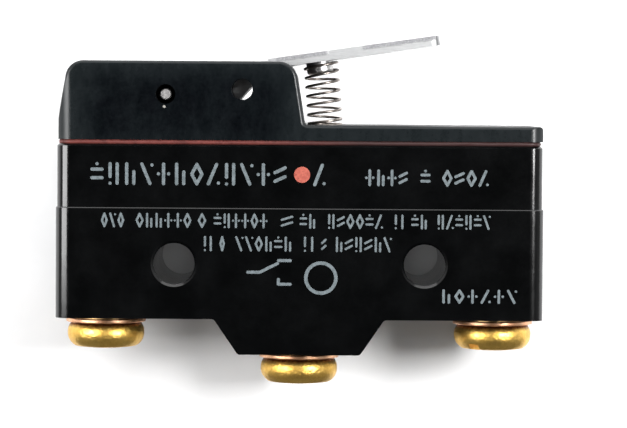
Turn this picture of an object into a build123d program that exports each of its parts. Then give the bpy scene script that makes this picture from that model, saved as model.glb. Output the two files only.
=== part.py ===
"""Enclosed snap-action limit switch with a short hinge lever and three screw terminals.

Millimetres. The origin is midway between the axes of the two mounting holes, at mid thickness.
+X runs along the case towards the lever's free end, -Y is the front face and +Z the lever side.
"""

from build123d import *

from math import cos, radians, sin
import os

# ---------------------------------------------------------------- driving dimensions

# Case
CASE_LENGTH = 49.6
CASE_THICKNESS = 17.45
CASE_BOTTOM_Z = -5.6
PARTING_Z = 5.7
UPPER_INSET = 0.15
UPPER_TOP_Z = 12.1
CASE_CORNER = 1.45
FOOT_BOTTOM_Z = -9.2
FOOT_TOP_HALF = 8.65
FOOT_BOTTOM_HALF = 6.2
FOOT_CORNER = 0.5
EDGE_BREAK = 0.2

# Mounting holes
MOUNT_PITCH = 25.4
MOUNT_RADIUS = 2.1
MOUNT_CHAMFER = 0.25

# Chamber of the mechanism: a long bay plus two narrower end bays for the terminal strips
CHAMBER_FLOOR_Z = 3.2
CHAMBER_ROOF_Z = 10.9
CHAMBER_LENGTH = 38.8
CHAMBER_WIDTH = 12.8
END_BAY_LENGTH = 46.0
END_BAY_WIDTH = 7.0

# Seal and lever housing
SEAL_THICKNESS = 0.45
SEAL_END_INSET = 0.35
SEAL_FACE_INSET = 0.25
HOUSING_LEFT_X = -24.55
HOUSING_SKIRT = 1.9
HOUSING_RIGHT_X = 24.7
HOUSING_HALF_Y = 8.7
HOUSING_CORNER = 1.35
HOUSING_EDGE = 0.4
LEDGE_Z = 14.1
LEDGE_FOOT_RADIUS = 0.4
LEDGE_END_RADIUS = 0.5
TOWER_TOP_Z = 20.55
TOWER_LEFT_TOP_X = -23.5
TOWER_RIGHT_TOP_X = -0.55
TOWER_RIGHT_FOOT_X = 0.47
TOWER_LEFT_RADIUS = 1.8
TOWER_RIGHT_RADIUS = 1.9
CORE_LEFT_X = -22.4
CORE_RIGHT_X = -19.3
CORE_TOP_Z = 18.4
CORE_WIDTH = 13.0

# Lever and its pivot
PIVOT_X = -13.63
PIVOT_Z = 17.17
LEVER_RISE_DEG = 8.3
LEVER_THICKNESS = 1.0
LEVER_WIDTH = 9.0
LEVER_UNDERSIDE = 1.166
LEVER_TAIL = -2.0
LEVER_REACH = 28.44
LEVER_CORNER = 0.9
EAR_DEPTH = 1.85
EAR_FOOT = 6.84
EAR_END = 10.64
EAR_TAIL_RADIUS = 1.6
EAR_TOE_RADIUS = 0.6
BEND_RADIUS = 0.9
NUB_AT = 4.69
NUB_RADIUS = 0.9
PIN_RADIUS = 0.98
PIN_HALF_LENGTH = 6.95
PIN_TIP_RADIUS = 0.58
PIN_TIP_HALF_LENGTH = 8.2
PIN_CHAMFER = 0.1
PIN_HOUSING_RADIUS = 1.0
PIN_LEVER_RADIUS = 1.03

# Slot in the tower that the lever swings in
SLOT_WIDTH = 9.5
SLOT_LEFT_X = -17.5
SLOT_STEP_X = -2.4
SLOT_RIGHT_X = 2.6
SLOT_FLOOR_Z = 14.5
SLOT_SILL_Z = 16.6
SIGHT_HOLE_X = -5.9
SIGHT_HOLE_Z = 17.7
SIGHT_HOLE_RADIUS = 1.075

# Return spring and its stud
STUD_AT = 15.87
STUD_RADIUS = 1.375
STUD_LENGTH = 1.2
STUD_SHANK_RADIUS = 0.8
STUD_EDGE = 0.3
SPRING_MEAN_RADIUS = 1.66
SPRING_WIRE_RADIUS = 0.15
SPRING_PITCH = 0.9
SPRING_FOOT_X = 2.5
SPRING_HEAD_X = 2.05
SPRING_FOOT_Z = 14.03
SPRING_HEAD_Z = 20.15
SEAT_RADIUS = 1.9
SEAT_DEPTH = 0.25

# Plunger and its seal ring
PLUNGER_X = -9.0
PLUNGER_RADIUS = 1.75
PLUNGER_TOP_Z = 18.04
PLUNGER_COLLAR_RADIUS = 2.6
PLUNGER_COLLAR_BOTTOM_Z = 9.6
PLUNGER_TIP_RADIUS = 1.0
PLUNGER_DOME_EDGE = 0.4
PLUNGER_COLLAR_EDGE = 0.5
RUNNING_GAP = 0.05
RING_RADIUS = 3.1
RING_TOP_Z = 13.6

# Terminals: bush, strip, screw and washer, the same at all three places
TERMINAL_X = 20.2
CENTRE_DROP = 3.6
BUSH_RADIUS = 3.3
BUSH_BOTTOM_Z = -6.12
BUSH_TOP_Z = -2.0
BUSH_BORE = 2.0
STRIP = 0.8
STRIP_WIDTH = 6.0
SCREW_RADIUS = 1.95
SCREW_TIP_Z = 0.2
HEAD_RADIUS = 4.0
HEAD_BOTTOM_Z = -9.3
HEAD_TOP_Z = -6.55
HEAD_SHOULDER = 0.45
HEAD_BULGE_Z = 1.1
HEAD_LOWER_INSET = 0.75
HEAD_DOME = 0.25
SCREW_TIP_CHAMFER = 0.4
SCREW_BORE_SPARE = 0.5
SLOT_CUT_WIDTH = 1.1
SLOT_CUT_DEPTH = 0.8
SLOT_ANGLES = (-6.0, 4.0, 55.0)
WASHER_RADIUS = 4.15
WASHER_EDGE = 0.12

# Contacts and blade
CONTACT_X = 12.0
CONTACT_RADIUS = 1.6
CONTACT_THICKNESS = 0.8
CONTACT_EDGE = 0.25
STRIP_OVERHANG = 2.4
UPPER_STRIP_Z = 9.3
BLADE_Z = 7.5
BLADE_THICKNESS = 0.2
BLADE_WIDTH = 7.0
BLADE_LEFT_X = -20.6
BLADE_RIGHT_X = 13.6
LEAF_LEFT_X = -14.5
LEAF_RIGHT_X = 4.5
LEAF_GAP = 0.5
LEAF_WIDTH = 1.7
LEAF_BOW = 1.1
ANCHOR_END_X = -16.0
JOGGLE_LENGTH = 1.0
CONTACT_GAP = 0.5
MOVING_FACE = 0.7
MOVING_SHANK_RADIUS = 1.0

# Rivets that clamp the blade on its anchor
BLADE_RIVET_Y = 1.7
BLADE_RIVET_RADIUS = 0.9
BLADE_RIVET_HEAD = 0.5
BLADE_RIVET_EDGE = 0.3

# Cover rivets
RIVET_X = 21.6
RIVET_Y = 5.9
RIVET_RADIUS = 1.0
RIVET_BORE = 0.55
RIVET_HEAD_RADIUS = 1.7
RIVET_HEAD = 0.6

FAR = 60.0
LEVER_TILT = radians(LEVER_RISE_DEG)
HALF_LENGTH = CASE_LENGTH / 2
HALF_THICKNESS = CASE_THICKNESS / 2
SEAL_TOP_Z = UPPER_TOP_Z + SEAL_THICKNESS
RIVET_PLACES = [(-RIVET_X, RIVET_Y), (RIVET_X, -RIVET_Y)]
TERMINAL_PLACES = [(-TERMINAL_X, 0.0), (0.0, -CENTRE_DROP), (TERMINAL_X, 0.0)]


def level(z):
    """Horizontal plane at height z."""
    return Plane.XY.offset(z)


def on_lever(along, above):
    """Point of the lever's side view, measured along it from the pivot and square to it."""
    x = PIVOT_X + along * cos(LEVER_TILT) - above * sin(LEVER_TILT)
    z = PIVOT_Z + along * sin(LEVER_TILT) + above * cos(LEVER_TILT)
    return (x, z)


LEVER_ALONG = (cos(LEVER_TILT), 0, sin(LEVER_TILT))
LEVER_UP = (-sin(LEVER_TILT), 0, cos(LEVER_TILT))
LEVER_TOP = LEVER_UNDERSIDE + LEVER_THICKNESS
LEVER_SIDE = Plane(origin=(PIVOT_X, 0, PIVOT_Z), x_dir=LEVER_ALONG, z_dir=(0, -1, 0))


def lever_plane(along, above):
    """Plane parallel to the lever's plate, centred at a point of its side view."""
    x, z = on_lever(along, above)
    return Plane(origin=(x, 0, z), x_dir=LEVER_ALONG, z_dir=LEVER_UP)


def heading(angle):
    """Horizontal direction at an angle in degrees from +X."""
    return (cos(radians(angle)), sin(radians(angle)), 0)


def nearest_corner(sketch, point):
    """The corner of a sketch in progress that lies nearest to a point of its own plane."""
    return sketch.vertices().sort_by_distance(Vertex(*point))[0]


def keep(builder, name):
    """Label a finished piece and write it as its own file."""
    builder.part.label = name
    export_step(builder.part, f"parts/{name}.step")


os.makedirs("parts", exist_ok=True)

# ---------------------------------------------------------------- terminals and fixed contacts

# A threaded bush sits at each terminal; the middle one is lower, in the foot of the case.
with BuildPart() as terminal_bushes:
    for x, z in TERMINAL_PLACES:
        with BuildSketch(level(BUSH_BOTTOM_Z + z)):
            with Locations((x, 0)):
                Circle(BUSH_RADIUS)
                Circle(BUSH_BORE, mode=Mode.SUBTRACT)
        extrude(amount=BUSH_TOP_Z - BUSH_BOTTOM_Z)
keep(terminal_bushes, "terminal_bushes")

# The common strip climbs the end wall and turns in as the anchor of the blade.
with BuildPart() as common_terminal:
    with BuildSketch(Plane.XZ):
        with BuildLine():
            Polyline(
                (-TERMINAL_X + BUSH_RADIUS, BUSH_TOP_Z + STRIP / 2),
                (-END_BAY_LENGTH / 2 + STRIP / 2, BUSH_TOP_Z + STRIP / 2),
                (-END_BAY_LENGTH / 2 + STRIP / 2, BLADE_Z - STRIP / 2),
                (ANCHOR_END_X, BLADE_Z - STRIP / 2),
            )
            offset(amount=STRIP / 2, kind=Kind.INTERSECTION)
        make_face()
    extrude(amount=STRIP_WIDTH / 2, both=True)
    with BuildSketch(level(BUSH_TOP_Z - STRIP)):
        with Locations((-TERMINAL_X, 0)):
            Circle(BUSH_BORE)
    extrude(amount=3 * STRIP, mode=Mode.SUBTRACT)
keep(common_terminal, "common_terminal")

# The normally closed strip climbs the other end wall and reaches back over the blade.
with BuildPart() as normally_closed_terminal:
    with BuildSketch(Plane.XZ):
        with BuildLine():
            Polyline(
                (TERMINAL_X - BUSH_RADIUS, BUSH_TOP_Z + STRIP / 2),
                (END_BAY_LENGTH / 2 - STRIP / 2, BUSH_TOP_Z + STRIP / 2),
                (END_BAY_LENGTH / 2 - STRIP / 2, UPPER_STRIP_Z + STRIP / 2),
                (CONTACT_X - STRIP_OVERHANG, UPPER_STRIP_Z + STRIP / 2),
            )
            offset(amount=STRIP / 2, kind=Kind.INTERSECTION)
        make_face()
    extrude(amount=STRIP_WIDTH / 2, both=True)
    with BuildSketch(level(BUSH_TOP_Z - STRIP)):
        with Locations((TERMINAL_X, 0)):
            Circle(BUSH_BORE)
    extrude(amount=3 * STRIP, mode=Mode.SUBTRACT)
keep(normally_closed_terminal, "normally_closed_terminal")

MOVING_BOTTOM_Z = UPPER_STRIP_Z - CONTACT_THICKNESS - 2 * MOVING_FACE - BLADE_THICKNESS
LOWER_CONTACT_TOP_Z = MOVING_BOTTOM_Z - CONTACT_GAP
LOWER_STRIP_Z = LOWER_CONTACT_TOP_Z - CONTACT_THICKNESS - STRIP

# The normally open strip climbs beside the middle screw and runs under the blade.
with BuildPart() as normally_open_terminal:
    with BuildSketch(Plane.XZ):
        with BuildLine():
            Polyline(
                (-BUSH_RADIUS, BUSH_TOP_Z - CENTRE_DROP + STRIP / 2),
                (BUSH_RADIUS - STRIP / 2, BUSH_TOP_Z - CENTRE_DROP + STRIP / 2),
                (BUSH_RADIUS - STRIP / 2, LOWER_STRIP_Z + STRIP / 2),
                (CONTACT_X + STRIP_OVERHANG, LOWER_STRIP_Z + STRIP / 2),
            )
            offset(amount=STRIP / 2, kind=Kind.INTERSECTION)
        make_face()
    extrude(amount=STRIP_WIDTH / 2, both=True)
    with BuildSketch(level(BUSH_TOP_Z - CENTRE_DROP - STRIP)):
        Circle(BUSH_BORE)
    extrude(amount=3 * STRIP, mode=Mode.SUBTRACT)
keep(normally_open_terminal, "normally_open_terminal")

with BuildPart() as normally_closed_contact:
    with BuildSketch(level(UPPER_STRIP_Z - CONTACT_THICKNESS)):
        with Locations((CONTACT_X, 0)):
            Circle(CONTACT_RADIUS)
    extrude(amount=CONTACT_THICKNESS)
    fillet(normally_closed_contact.edges().group_by(Axis.Z)[0], CONTACT_EDGE)
keep(normally_closed_contact, "normally_closed_contact")

with BuildPart() as normally_open_contact:
    with BuildSketch(level(LOWER_CONTACT_TOP_Z - CONTACT_THICKNESS)):
        with Locations((CONTACT_X, 0)):
            Circle(CONTACT_RADIUS)
    extrude(amount=CONTACT_THICKNESS)
    fillet(normally_open_contact.edges().group_by(Axis.Z)[-1], CONTACT_EDGE)
keep(normally_open_contact, "normally_open_contact")

# ---------------------------------------------------------------- snap blade and moving contact

BLADE_MID_Z = UPPER_STRIP_Z - CONTACT_THICKNESS - MOVING_FACE - BLADE_THICKNESS / 2
BLADE_STEP = BLADE_MID_Z - BLADE_Z - BLADE_THICKNESS / 2

# One leaf of thin spring metal: flat at the anchor, a small joggle, then flat to the contact.
with BuildPart() as snap_blade:
    with BuildSketch(Plane.XZ):
        with BuildLine():
            Polyline(
                (BLADE_LEFT_X, BLADE_Z),
                (ANCHOR_END_X, BLADE_Z),
                (ANCHOR_END_X + JOGGLE_LENGTH, BLADE_Z + BLADE_STEP),
                (BLADE_RIGHT_X, BLADE_Z + BLADE_STEP),
                (BLADE_RIGHT_X, BLADE_Z + BLADE_STEP + BLADE_THICKNESS),
                (ANCHOR_END_X + JOGGLE_LENGTH, BLADE_Z + BLADE_STEP + BLADE_THICKNESS),
                (ANCHOR_END_X, BLADE_Z + BLADE_THICKNESS),
                (BLADE_LEFT_X, BLADE_Z + BLADE_THICKNESS),
                close=True,
            )
        make_face()
    extrude(amount=BLADE_WIDTH / 2, both=True)
    with BuildSketch(level(0)):
        for side in (-1, 1):
            with Locations(((LEAF_LEFT_X + LEAF_RIGHT_X) / 2, side * BLADE_WIDTH / 2)):
                Rectangle(LEAF_RIGHT_X - LEAF_LEFT_X, 2 * (LEAF_WIDTH + LEAF_GAP))
        with Locations((CONTACT_X, 0)):
            Circle(MOVING_SHANK_RADIUS)
    extrude(amount=FAR, mode=Mode.SUBTRACT)
    for side in (-1, 1):
        leaf_y = side * (BLADE_WIDTH - LEAF_WIDTH) / 2
        leaf_z = BLADE_Z + BLADE_STEP + BLADE_THICKNESS / 2
        with BuildSketch(Plane.XZ.offset(-leaf_y)):
            with BuildLine():
                ThreePointArc(
                    (LEAF_LEFT_X, leaf_z),
                    ((LEAF_LEFT_X + LEAF_RIGHT_X) / 2, leaf_z - LEAF_BOW),
                    (LEAF_RIGHT_X, leaf_z),
                )
                offset(amount=BLADE_THICKNESS / 2, kind=Kind.INTERSECTION)
            make_face()
        extrude(amount=LEAF_WIDTH / 2, both=True)
keep(snap_blade, "snap_blade")

RIVET_ROW_X = (BLADE_LEFT_X + ANCHOR_END_X) / 2

# Two small rivets clamp the blade on top of the common strip's anchor.
with BuildPart() as blade_rivets:
    for y in (-BLADE_RIVET_Y, BLADE_RIVET_Y):
        with BuildSketch(level(BLADE_Z + BLADE_THICKNESS)):
            with Locations((RIVET_ROW_X, y)):
                Circle(BLADE_RIVET_RADIUS)
        extrude(amount=BLADE_RIVET_HEAD)
    fillet(blade_rivets.edges().group_by(Axis.Z)[-1], BLADE_RIVET_EDGE)
keep(blade_rivets, "blade_rivets")

# The moving contact is a double-headed rivet through the blade's free end.
with BuildPart() as moving_contact:
    for face_z in (BLADE_MID_Z - BLADE_THICKNESS / 2 - MOVING_FACE, BLADE_MID_Z + BLADE_THICKNESS / 2):
        with BuildSketch(level(face_z)):
            with Locations((CONTACT_X, 0)):
                Circle(CONTACT_RADIUS)
        extrude(amount=MOVING_FACE)
    with BuildSketch(level(BLADE_MID_Z - BLADE_THICKNESS / 2)):
        with Locations((CONTACT_X, 0)):
            Circle(MOVING_SHANK_RADIUS)
    extrude(amount=BLADE_THICKNESS)
keep(moving_contact, "moving_contact")

# ---------------------------------------------------------------- case halves

# The lower half has the foot, both mounting holes, and the terminals moulded in.
with BuildPart() as lower_case:
    with BuildSketch(Plane.XZ):
        with BuildLine():
            Polyline(
                (-HALF_LENGTH, PARTING_Z),
                (-HALF_LENGTH, CASE_BOTTOM_Z),
                (-FOOT_TOP_HALF, CASE_BOTTOM_Z),
                (-FOOT_BOTTOM_HALF, FOOT_BOTTOM_Z),
                (FOOT_BOTTOM_HALF, FOOT_BOTTOM_Z),
                (FOOT_TOP_HALF, CASE_BOTTOM_Z),
                (HALF_LENGTH, CASE_BOTTOM_Z),
                (HALF_LENGTH, PARTING_Z),
                close=True,
            )
        foot = make_face()
        fillet(foot.vertices().filter_by(lambda v: abs(v.X) < HALF_LENGTH - 1), FOOT_CORNER)
    extrude(amount=HALF_THICKNESS, both=True)
    upright_edges = lower_case.edges().filter_by(Axis.Z)
    fillet(upright_edges.filter_by(lambda e: abs(e.center().X) > HALF_LENGTH - 1), CASE_CORNER)
    chamfer(lower_case.faces().sort_by(Axis.Z)[-1].outer_wire().edges(), EDGE_BREAK / 2)
    with BuildSketch(Plane.XZ.offset(-HALF_THICKNESS)):
        with GridLocations(MOUNT_PITCH, 0, 2, 1):
            Circle(MOUNT_RADIUS)
    extrude(amount=CASE_THICKNESS, mode=Mode.SUBTRACT)
    hole_mouths = lower_case.edges().filter_by(GeomType.CIRCLE).filter_by(
        lambda e: abs(e.radius - MOUNT_RADIUS) < 0.01
    )
    chamfer(hole_mouths, MOUNT_CHAMFER)
    with BuildSketch(level(CHAMBER_FLOOR_Z)):
        Rectangle(CHAMBER_LENGTH, CHAMBER_WIDTH)
        Rectangle(END_BAY_LENGTH, END_BAY_WIDTH)
    extrude(amount=FAR, mode=Mode.SUBTRACT)
    for metal in (terminal_bushes, common_terminal, normally_closed_terminal, normally_open_terminal):
        add(metal.part, mode=Mode.SUBTRACT)
    for x, z in TERMINAL_PLACES:
        with BuildSketch(level(BUSH_BOTTOM_Z + z - 1)):
            with Locations((x, 0)):
                Circle(BUSH_BORE + RUNNING_GAP)
        extrude(amount=SCREW_TIP_Z + SCREW_BORE_SPARE - BUSH_BOTTOM_Z + 1, mode=Mode.SUBTRACT)
    with BuildSketch(level(CASE_BOTTOM_Z - 1)):
        with Locations(*RIVET_PLACES):
            Circle(RIVET_RADIUS)
    extrude(amount=FAR, mode=Mode.SUBTRACT)
    with BuildSketch(level(CASE_BOTTOM_Z - 1)):
        with Locations(*RIVET_PLACES):
            Circle(RIVET_HEAD_RADIUS)
    extrude(amount=1 + RIVET_HEAD, mode=Mode.SUBTRACT)
keep(lower_case, "lower_case")

# The upper half is a plain lid over the chamber, with a guide hole for the plunger.
with BuildPart() as upper_case:
    with BuildSketch(level(PARTING_Z)):
        RectangleRounded(
            CASE_LENGTH - 2 * UPPER_INSET,
            CASE_THICKNESS - UPPER_INSET,
            CASE_CORNER - UPPER_INSET,
        )
    extrude(amount=UPPER_TOP_Z - PARTING_Z)
    chamfer(upper_case.faces().sort_by(Axis.Z)[-1].outer_wire().edges(), EDGE_BREAK)
    with BuildSketch(level(PARTING_Z)):
        Rectangle(CHAMBER_LENGTH, CHAMBER_WIDTH)
        Rectangle(END_BAY_LENGTH, END_BAY_WIDTH)
    extrude(amount=CHAMBER_ROOF_Z - PARTING_Z, mode=Mode.SUBTRACT)
    with BuildSketch(level(CHAMBER_ROOF_Z - 1)):
        with Locations((PLUNGER_X, 0)):
            Circle(PLUNGER_RADIUS + RUNNING_GAP)
        with Locations(*RIVET_PLACES):
            Circle(RIVET_RADIUS)
    extrude(amount=FAR, mode=Mode.SUBTRACT)
    with BuildSketch(level(PARTING_Z - 1)):
        with Locations(*RIVET_PLACES):
            Circle(RIVET_RADIUS)
    extrude(amount=FAR, mode=Mode.SUBTRACT)
    with BuildSketch(level(UPPER_TOP_Z - RIVET_HEAD)):
        with Locations(*RIVET_PLACES):
            Circle(RIVET_HEAD_RADIUS)
    extrude(amount=FAR, mode=Mode.SUBTRACT)
keep(upper_case, "upper_case")

# Tubular rivets at two opposite corners, their heads sunk in both halves.
with BuildPart() as cover_rivets:
    for bottom, top, radius in (
        (CASE_BOTTOM_Z, CASE_BOTTOM_Z + RIVET_HEAD, RIVET_HEAD_RADIUS),
        (CASE_BOTTOM_Z, UPPER_TOP_Z, RIVET_RADIUS),
        (UPPER_TOP_Z - RIVET_HEAD, UPPER_TOP_Z, RIVET_HEAD_RADIUS),
    ):
        with BuildSketch(level(bottom)):
            with Locations(*RIVET_PLACES):
                Circle(radius)
        extrude(amount=top - bottom)
    with BuildSketch(level(CASE_BOTTOM_Z)):
        with Locations(*RIVET_PLACES):
            Circle(RIVET_BORE)
    extrude(amount=UPPER_TOP_Z - CASE_BOTTOM_Z, mode=Mode.SUBTRACT)
keep(cover_rivets, "cover_rivets")

# ---------------------------------------------------------------- screws and washers

# Side view of a pan head, as radius and height: three arcs from the seat to the domed bottom.
SHOULDER = (HEAD_RADIUS - HEAD_SHOULDER, HEAD_TOP_Z)
SHOULDER_MIDDLE = (HEAD_RADIUS - 0.11, HEAD_TOP_Z - 0.5)
BULGE = (HEAD_RADIUS, HEAD_TOP_Z - HEAD_BULGE_Z)
BULGE_MIDDLE = (HEAD_RADIUS - 0.18, HEAD_TOP_Z - 1.9)
LOWER_EDGE = (HEAD_RADIUS - HEAD_LOWER_INSET, HEAD_BOTTOM_Z + HEAD_DOME)
DOME_MIDDLE = (HEAD_RADIUS / 2, HEAD_BOTTOM_Z + 0.09)

# Slotted pan-head screws, run fully home on their washers, each slot left at its own angle.
with BuildPart() as terminal_screws:
    for (x, z), slot_angle in zip(TERMINAL_PLACES, SLOT_ANGLES):
        half_section = Plane(origin=(x, 0, z), x_dir=heading(slot_angle + 90), z_dir=heading(slot_angle))
        with BuildSketch(half_section):
            with BuildLine():
                Polyline(
                    (0, SCREW_TIP_Z),
                    (SCREW_RADIUS - SCREW_TIP_CHAMFER, SCREW_TIP_Z),
                    (SCREW_RADIUS, SCREW_TIP_Z - SCREW_TIP_CHAMFER),
                    (SCREW_RADIUS, HEAD_TOP_Z),
                    SHOULDER,
                )
                ThreePointArc(SHOULDER, SHOULDER_MIDDLE, BULGE)
                ThreePointArc(BULGE, BULGE_MIDDLE, LOWER_EDGE)
                ThreePointArc(LOWER_EDGE, DOME_MIDDLE, (0, HEAD_BOTTOM_Z))
                Line((0, HEAD_BOTTOM_Z), (0, SCREW_TIP_Z))
            make_face()
        revolve(axis=Axis((x, 0, 0), (0, 0, 1)))
        below_head = Plane(origin=(x, 0, HEAD_BOTTOM_Z + z - 1), x_dir=heading(slot_angle), z_dir=(0, 0, 1))
        with BuildSketch(below_head):
            Rectangle(3 * HEAD_RADIUS, SLOT_CUT_WIDTH)
        extrude(amount=1 + SLOT_CUT_DEPTH, mode=Mode.SUBTRACT)
keep(terminal_screws, "terminal_screws")

# Plain washers between bushes and screw heads.
with BuildPart() as terminal_washers:
    for x, z in TERMINAL_PLACES:
        with BuildSketch(level(HEAD_TOP_Z + z)):
            with Locations((x, 0)):
                Circle(WASHER_RADIUS)
                Circle(SCREW_RADIUS + 2 * RUNNING_GAP, mode=Mode.SUBTRACT)
        extrude(amount=BUSH_BOTTOM_Z - HEAD_TOP_Z)
    rims = terminal_washers.edges().filter_by(GeomType.CIRCLE).filter_by(
        lambda e: abs(e.radius - WASHER_RADIUS) < 0.01
    )
    fillet(rims, WASHER_EDGE)
keep(terminal_washers, "terminal_washers")

# ---------------------------------------------------------------- seal, housing and plunger

# The gasket is a flat sheet between upper case and housing, open over the plunger.
with BuildPart() as seal_gasket:
    with BuildSketch(level(UPPER_TOP_Z)):
        RectangleRounded(
            CASE_LENGTH - 2 * SEAL_END_INSET,
            CASE_THICKNESS - 2 * SEAL_FACE_INSET,
            CASE_CORNER - UPPER_INSET,
        )
        with Locations((PLUNGER_X, 0)):
            Circle(RING_RADIUS, mode=Mode.SUBTRACT)
    extrude(amount=SEAL_THICKNESS)
keep(seal_gasket, "seal_gasket")

# A soft wiper ring fills the recess round the plunger.
with BuildPart() as plunger_seal:
    with BuildSketch(level(UPPER_TOP_Z)):
        with Locations((PLUNGER_X, 0)):
            Circle(RING_RADIUS)
            Circle(PLUNGER_RADIUS + RUNNING_GAP / 2, mode=Mode.SUBTRACT)
    extrude(amount=RING_TOP_Z - UPPER_TOP_Z)
keep(plunger_seal, "plunger_seal")

# The plunger: a dome for the lever nub, a guide shaft, a collar below the roof and a blunt tip.
with BuildPart() as plunger:
    with BuildSketch(Plane(origin=(PLUNGER_X, 0, 0), x_dir=(1, 0, 0), z_dir=(0, -1, 0))):
        with BuildLine():
            Polyline(
                (0, PLUNGER_TOP_Z),
                (PLUNGER_RADIUS - PLUNGER_DOME_EDGE, PLUNGER_TOP_Z),
                (PLUNGER_RADIUS, PLUNGER_TOP_Z - PLUNGER_DOME_EDGE),
                (PLUNGER_RADIUS, CHAMBER_ROOF_Z - RUNNING_GAP),
                (PLUNGER_COLLAR_RADIUS, CHAMBER_ROOF_Z - RUNNING_GAP),
                (PLUNGER_COLLAR_RADIUS, PLUNGER_COLLAR_BOTTOM_Z),
                (PLUNGER_TIP_RADIUS, PLUNGER_COLLAR_BOTTOM_Z - PLUNGER_COLLAR_EDGE),
                (PLUNGER_TIP_RADIUS, BLADE_MID_Z + BLADE_THICKNESS / 2 + RUNNING_GAP),
                (0, BLADE_MID_Z + BLADE_THICKNESS / 2 + RUNNING_GAP),
                close=True,
            )
        make_face()
    revolve(axis=Axis((PLUNGER_X, 0, 0), (0, 0, 1)))
keep(plunger, "plunger")

# The housing: a low ledge over the whole case and a tower that carries the lever.
with BuildPart() as actuator_housing:
    with BuildSketch(Plane.XZ) as side_view:
        with BuildLine():
            Polyline(
                (HOUSING_LEFT_X, SEAL_TOP_Z),
                (HOUSING_LEFT_X, SEAL_TOP_Z + HOUSING_SKIRT),
                (TOWER_LEFT_TOP_X, TOWER_TOP_Z),
                (TOWER_RIGHT_TOP_X, TOWER_TOP_Z),
                (TOWER_RIGHT_FOOT_X, LEDGE_Z),
                (HOUSING_RIGHT_X, LEDGE_Z),
                (HOUSING_RIGHT_X, SEAL_TOP_Z),
                close=True,
            )
        make_face()
        for corner, radius in (
            ((TOWER_LEFT_TOP_X, TOWER_TOP_Z), TOWER_LEFT_RADIUS),
            ((TOWER_RIGHT_TOP_X, TOWER_TOP_Z), TOWER_RIGHT_RADIUS),
            ((TOWER_RIGHT_FOOT_X, LEDGE_Z), LEDGE_FOOT_RADIUS),
            ((HOUSING_RIGHT_X, LEDGE_Z), LEDGE_END_RADIUS),
        ):
            fillet(nearest_corner(side_view, corner), radius)
    extrude(amount=HOUSING_HALF_Y, both=True)
    outline = actuator_housing.edges().filter_by(lambda e: abs(abs(e.center().Y) - HOUSING_HALF_Y) < 0.001)
    fillet(outline.filter_by(lambda e: e.center().Z > SEAL_TOP_Z + 0.001), HOUSING_EDGE)
    with BuildSketch(level(SEAL_TOP_Z)):
        with Locations(((HOUSING_LEFT_X + HOUSING_RIGHT_X) / 2, 0)):
            RectangleRounded(HOUSING_RIGHT_X - HOUSING_LEFT_X, 2 * HOUSING_HALF_Y, HOUSING_CORNER)
    extrude(amount=TOWER_TOP_Z - SEAL_TOP_Z, mode=Mode.INTERSECT)
    with BuildSketch(Plane.XZ):
        with BuildLine():
            Polyline(
                (SLOT_LEFT_X, SLOT_FLOOR_Z),
                (SLOT_STEP_X, SLOT_FLOOR_Z),
                (SLOT_STEP_X, SLOT_SILL_Z),
                (SLOT_RIGHT_X, SLOT_SILL_Z),
                (SLOT_RIGHT_X, TOWER_TOP_Z + 1),
                (SLOT_LEFT_X, TOWER_TOP_Z + 1),
                close=True,
            )
        make_face()
    extrude(amount=SLOT_WIDTH / 2, both=True, mode=Mode.SUBTRACT)
    with BuildSketch(level(SEAL_TOP_Z)):
        with Locations(((CORE_LEFT_X + CORE_RIGHT_X) / 2, 0)):
            Rectangle(CORE_RIGHT_X - CORE_LEFT_X, CORE_WIDTH)
    extrude(amount=CORE_TOP_Z - SEAL_TOP_Z, mode=Mode.SUBTRACT)
    with BuildSketch(level(SEAL_TOP_Z)):
        with Locations((PLUNGER_X, 0)):
            Circle(PLUNGER_RADIUS + 2 * RUNNING_GAP)
    extrude(amount=FAR, mode=Mode.SUBTRACT)
    with BuildSketch(level(SEAL_TOP_Z)):
        with Locations((PLUNGER_X, 0)):
            Circle(RING_RADIUS)
    extrude(amount=RING_TOP_Z - SEAL_TOP_Z, mode=Mode.SUBTRACT)
    with BuildSketch(level(LEDGE_Z - SEAT_DEPTH)):
        with Locations((SPRING_FOOT_X, 0)):
            Circle(SEAT_RADIUS)
    extrude(amount=2 * SEAT_DEPTH, mode=Mode.SUBTRACT)
    with BuildSketch(Plane.XZ.offset(-HOUSING_HALF_Y)):
        with Locations((PIVOT_X, PIVOT_Z)):
            Circle(PIN_HOUSING_RADIUS)
        with Locations((SIGHT_HOLE_X, SIGHT_HOLE_Z)):
            Circle(SIGHT_HOLE_RADIUS)
    extrude(amount=2 * HOUSING_HALF_Y, mode=Mode.SUBTRACT)
keep(actuator_housing, "actuator_housing")

# ---------------------------------------------------------------- lever, pin, stud and spring

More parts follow.
